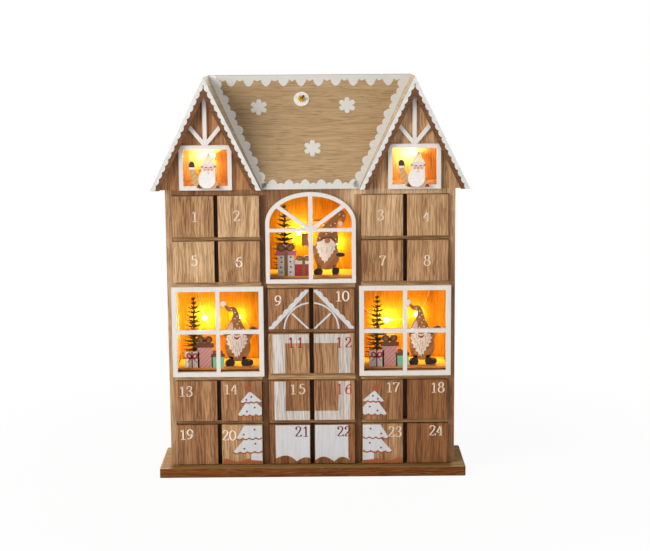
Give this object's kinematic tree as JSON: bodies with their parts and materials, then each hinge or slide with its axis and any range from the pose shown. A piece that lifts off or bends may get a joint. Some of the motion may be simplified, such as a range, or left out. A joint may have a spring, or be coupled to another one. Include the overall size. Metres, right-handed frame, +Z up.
{
  "type": "wooden advent calendar",
  "caption": "House-shaped wooden advent calendar: small numbered drawers that pull out, lit windows with cut-out figures and a gabled roof with painted icing.",
  "frame": {"origin": "under the middle of the base board", "axes": "+Z up, the front with the drawers looks along -Y, +X to the viewer's right"},
  "size_m": [0.306, 0.075, 0.3895],
  "materials": {
    "base_wood": "stained satin",
    "carcass_wood": "veneered satin",
    "plain_board": "plain",
    "drawer_wood": "veneered, partly painted",
    "roof_wood": "veneered with painted icing",
    "barge_print": "painted icing over veneer",
    "white_trim": "painted satin",
    "fir_print": "printed",
    "gift_print": "printed",
    "figure_print": "printed",
    "wire": "enamelled",
    "bulb": "glowing",
    "battery_plastic": "moulded",
    "battery_cell": "printed sleeve",
    "contact_steel": "plated",
    "switch_white": "gloss",
    "switch_black": "moulded",
    "switch_brass": "polished"
  },
  "bodies": {
    "house": {"base_board": "base_wood", "left_wall": "carcass_wood", "right_wall": "carcass_wood", "dividers": "carcass_wood", "tier_shelves": "carcass_wood", "top_board": "carcass_wood", "arch_spandrels": "carcass_wood", "gable_fronts": "carcass_wood", "outer_roof_boards": "carcass_wood", "inner_roof_boards": "carcass_wood", "back_panel": "plain_board", "drawer_shelves": "plain_board", "drawer_partitions": "plain_board", "gable_floors": "plain_board", "scene_plinths": "plain_board", "roof_panel": "roof_wood", "barge_boards": "barge_print", "left_window": "white_trim", "right_window": "white_trim", "arch_window": "white_trim", "gable_windows": "white_trim", "gable_braces": "white_trim", "fir_trees": "fir_print", "gift_stacks": "gift_print", "gnomes": "figure_print", "gable_figures": "figure_print", "light_wire": "wire", "light_bulbs": "bulb", "battery_box": "battery_plastic", "battery_cells": "battery_cell", "battery_contacts": "contact_steel", "switch_plate": "switch_white", "switch_body": "switch_black", "switch_nut": "switch_brass"},
    "drawer_01": {"drawer_01": "drawer_wood"},
    "drawer_02": {"drawer_02": "drawer_wood"},
    "drawer_03": {"drawer_03": "drawer_wood"},
    "drawer_04": {"drawer_04": "drawer_wood"},
    "drawer_05": {"drawer_05": "drawer_wood"},
    "drawer_06": {"drawer_06": "drawer_wood"},
    "drawer_07": {"drawer_07": "drawer_wood"},
    "drawer_08": {"drawer_08": "drawer_wood"},
    "drawer_09": {"drawer_09": "drawer_wood"},
    "drawer_10": {"drawer_10": "drawer_wood"},
    "drawer_11": {"drawer_11": "drawer_wood"},
    "drawer_12": {"drawer_12": "drawer_wood"},
    "drawer_13": {"drawer_13": "drawer_wood"},
    "drawer_14": {"drawer_14": "drawer_wood"},
    "drawer_15": {"drawer_15": "drawer_wood"},
    "drawer_16": {"drawer_16": "drawer_wood"},
    "drawer_17": {"drawer_17": "drawer_wood"},
    "drawer_18": {"drawer_18": "drawer_wood"},
    "drawer_19": {"drawer_19": "drawer_wood"},
    "drawer_20": {"drawer_20": "drawer_wood"},
    "drawer_21": {"drawer_21": "drawer_wood"},
    "drawer_22": {"drawer_22": "drawer_wood"},
    "drawer_23": {"drawer_23": "drawer_wood"},
    "drawer_24": {"drawer_24": "drawer_wood"},
    "switch_lever": {"switch_lever": "switch_brass"},
    "battery_lid": {"battery_lid": "battery_plastic"}
  },
  "joints": [
    {"name": "drawer_01_slide", "type": "slide", "parent": "house", "child": "drawer_01", "axis": [0, -1, 0], "range_m": [0, 0.045]},
    {"name": "drawer_02_slide", "type": "slide", "parent": "house", "child": "drawer_02", "axis": [0, -1, 0], "range_m": [0, 0.045]},
    {"name": "drawer_03_slide", "type": "slide", "parent": "house", "child": "drawer_03", "axis": [0, -1, 0], "range_m": [0, 0.045]},
    {"name": "drawer_04_slide", "type": "slide", "parent": "house", "child": "drawer_04", "axis": [0, -1, 0], "range_m": [0, 0.045]},
    {"name": "drawer_05_slide", "type": "slide", "parent": "house", "child": "drawer_05", "axis": [0, -1, 0], "range_m": [0, 0.045]},
    {"name": "drawer_06_slide", "type": "slide", "parent": "house", "child": "drawer_06", "axis": [0, -1, 0], "range_m": [0, 0.045]},
    {"name": "drawer_07_slide", "type": "slide", "parent": "house", "child": "drawer_07", "axis": [0, -1, 0], "range_m": [0, 0.045]},
    {"name": "drawer_08_slide", "type": "slide", "parent": "house", "child": "drawer_08", "axis": [0, -1, 0], "range_m": [0, 0.045]},
    {"name": "drawer_09_slide", "type": "slide", "parent": "house", "child": "drawer_09", "axis": [0, -1, 0], "range_m": [0, 0.045]},
    {"name": "drawer_10_slide", "type": "slide", "parent": "house", "child": "drawer_10", "axis": [0, -1, 0], "range_m": [0, 0.045]},
    {"name": "drawer_11_slide", "type": "slide", "parent": "house", "child": "drawer_11", "axis": [0, -1, 0], "range_m": [0, 0.045]},
    {"name": "drawer_12_slide", "type": "slide", "parent": "house", "child": "drawer_12", "axis": [0, -1, 0], "range_m": [0, 0.045]},
    {"name": "drawer_13_slide", "type": "slide", "parent": "house", "child": "drawer_13", "axis": [0, -1, 0], "range_m": [0, 0.045]},
    {"name": "drawer_14_slide", "type": "slide", "parent": "house", "child": "drawer_14", "axis": [0, -1, 0], "range_m": [0, 0.045]},
    {"name": "drawer_15_slide", "type": "slide", "parent": "house", "child": "drawer_15", "axis": [0, -1, 0], "range_m": [0, 0.045]},
    {"name": "drawer_16_slide", "type": "slide", "parent": "house", "child": "drawer_16", "axis": [0, -1, 0], "range_m": [0, 0.045]},
    {"name": "drawer_17_slide", "type": "slide", "parent": "house", "child": "drawer_17", "axis": [0, -1, 0], "range_m": [0, 0.045]},
    {"name": "drawer_18_slide", "type": "slide", "parent": "house", "child": "drawer_18", "axis": [0, -1, 0], "range_m": [0, 0.045]},
    {"name": "drawer_19_slide", "type": "slide", "parent": "house", "child": "drawer_19", "axis": [0, -1, 0], "range_m": [0, 0.045]},
    {"name": "drawer_20_slide", "type": "slide", "parent": "house", "child": "drawer_20", "axis": [0, -1, 0], "range_m": [0, 0.045]},
    {"name": "drawer_21_slide", "type": "slide", "parent": "house", "child": "drawer_21", "axis": [0, -1, 0], "range_m": [0, 0.045]},
    {"name": "drawer_22_slide", "type": "slide", "parent": "house", "child": "drawer_22", "axis": [0, -1, 0], "range_m": [0, 0.045]},
    {"name": "drawer_23_slide", "type": "slide", "parent": "house", "child": "drawer_23", "axis": [0, -1, 0], "range_m": [0, 0.045]},
    {"name": "drawer_24_slide", "type": "slide", "parent": "house", "child": "drawer_24", "axis": [0, -1, 0], "range_m": [0, 0.045]},
    {"name": "switch_lever_tilt", "type": "hinge", "parent": "house", "child": "switch_lever", "pos_m": [-0.008, 0.01333, 0.36696], "axis": [0, 0.4384, 0.8988], "range_deg": [-40, 0]},
    {"name": "battery_lid_slide", "type": "slide", "parent": "house", "child": "battery_lid", "axis": [1, 0, 0], "range_m": [0, 0.06]}
  ]
}
